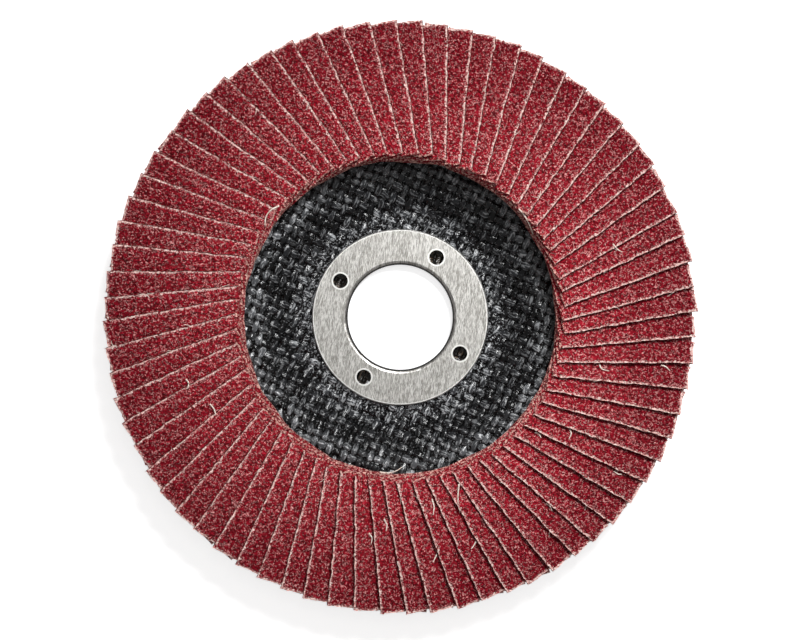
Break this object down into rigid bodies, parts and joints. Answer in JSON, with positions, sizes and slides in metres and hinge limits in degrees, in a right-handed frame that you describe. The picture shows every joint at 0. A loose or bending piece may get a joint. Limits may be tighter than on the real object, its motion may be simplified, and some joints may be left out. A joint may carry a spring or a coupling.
{
  "type": "flap disc",
  "caption": "Abrasive flap disc: shingled cloth flaps glued to a dished glass-fibre backing plate with a steel ring round its bore.",
  "frame": {"origin": "centre of the bore on the back face of the hub, the lowest face of the disc", "axes": "+Z along the bore axis out of the abrasive face; +X and +Y lie in the hub's back face, +X to the right and +Y up as the abrasive face is looked at"},
  "size_m": [0.1236, 0.1236, 0.0169],
  "materials": {
    "glass_fibre_plate": "black resin over a coarse woven glass cloth, glossy on the yarn crowns",
    "steel_ring": "stamped sheet steel with fine hairlines",
    "adhesive": "hard reddish-brown resin glue",
    "abrasive_cloth": "coarse red abrasive grain in resin on polycotton cloth"
  },
  "bodies": {
    "root": {"backing_plate": "glass_fibre_plate", "center_ring": "steel_ring", "adhesive_bed": "adhesive", "flap_pair_01": "abrasive_cloth", "flap_pair_02": "abrasive_cloth", "flap_pair_03": "abrasive_cloth", "flap_pair_04": "abrasive_cloth", "flap_pair_05": "abrasive_cloth", "flap_pair_06": "abrasive_cloth", "flap_pair_07": "abrasive_cloth", "flap_pair_08": "abrasive_cloth", "flap_pair_09": "abrasive_cloth", "flap_pair_10": "abrasive_cloth", "flap_pair_11": "abrasive_cloth", "flap_pair_12": "abrasive_cloth", "flap_pair_13": "abrasive_cloth", "flap_pair_14": "abrasive_cloth", "flap_pair_15": "abrasive_cloth", "flap_pair_16": "abrasive_cloth", "flap_pair_17": "abrasive_cloth", "flap_pair_18": "abrasive_cloth", "flap_pair_19": "abrasive_cloth", "flap_pair_20": "abrasive_cloth", "flap_pair_21": "abrasive_cloth", "flap_pair_22": "abrasive_cloth", "flap_pair_23": "abrasive_cloth", "flap_pair_24": "abrasive_cloth", "flap_pair_25": "abrasive_cloth", "flap_pair_26": "abrasive_cloth", "flap_pair_27": "abrasive_cloth", "flap_pair_28": "abrasive_cloth", "flap_pair_29": "abrasive_cloth", "flap_pair_30": "abrasive_cloth", "flap_pair_31": "abrasive_cloth", "flap_pair_32": "abrasive_cloth", "flap_pair_33": "abrasive_cloth", "flap_pair_34": "abrasive_cloth", "flap_pair_35": "abrasive_cloth", "flap_pair_36": "abrasive_cloth"}
  },
  "joints": []
}
